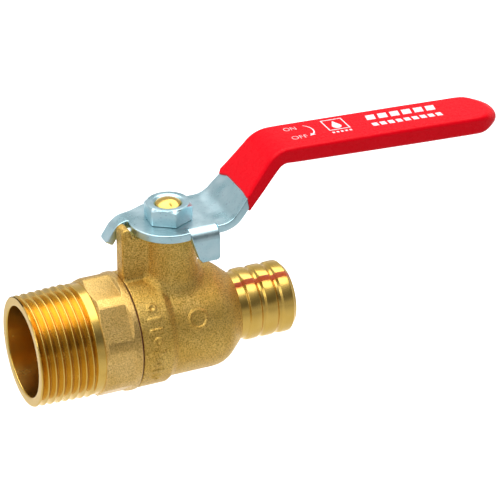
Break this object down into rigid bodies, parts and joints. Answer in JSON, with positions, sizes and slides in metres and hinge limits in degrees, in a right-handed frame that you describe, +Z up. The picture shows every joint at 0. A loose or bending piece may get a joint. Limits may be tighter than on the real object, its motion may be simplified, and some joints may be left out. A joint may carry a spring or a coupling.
{
  "type": "water shutoff valve",
  "caption": "Quarter-turn brass ball valve with a male pipe thread inlet, a crimp barb outlet and a bent steel lever with a dipped grip.",
  "frame": {"origin": "where the pipe axis meets the stem axis, at the centre of the ball", "axes": "+X along the pipe from the threaded inlet to the barb outlet, +Z up the stem to the lever, +Y to the left of the flow"},
  "size_m": [0.1209, 0.0284, 0.0564],
  "materials": {
    "forged_brass": "forged and shot-blasted, matte grain",
    "turned_brass": "turned, bright",
    "fibre_gasket": "pressed fibre",
    "chromed_brass": "polished chrome plate",
    "ptfe": "smooth white PTFE",
    "nitrile_rubber": "moulded",
    "zinc_plated_steel": "zinc plated, blue passivated",
    "red_vinyl": "dipped vinyl, smooth satin gloss"
  },
  "bodies": {
    "housing": {"valve_body": "forged_brass", "end_cap": "turned_brass", "cap_gasket": "fibre_gasket", "inlet_seat": "ptfe", "outlet_seat": "ptfe"},
    "handle": {"lever": "zinc_plated_steel", "grip_sleeve": "red_vinyl", "lever_nut": "zinc_plated_steel", "stem": "turned_brass", "thrust_washer": "ptfe", "stem_o_ring_lower": "nitrile_rubber", "stem_o_ring_upper": "nitrile_rubber"},
    "ball": {"ball": "chromed_brass"}
  },
  "joints": [
    {"name": "lever_turn", "type": "hinge", "parent": "housing", "child": "handle", "pos_m": [0, 0, 0.02], "axis": [0, 0, 1], "range_deg": [-90, 0]},
    {"name": "ball_turn", "type": "hinge", "parent": "housing", "child": "ball", "pos_m": [0, 0, 0], "axis": [0, 0, 1], "range_deg": [-90, 0]}
  ],
  "couplings": [
    {"joint": "ball_turn", "follows": "lever_turn", "ratio": 1}
  ]
}
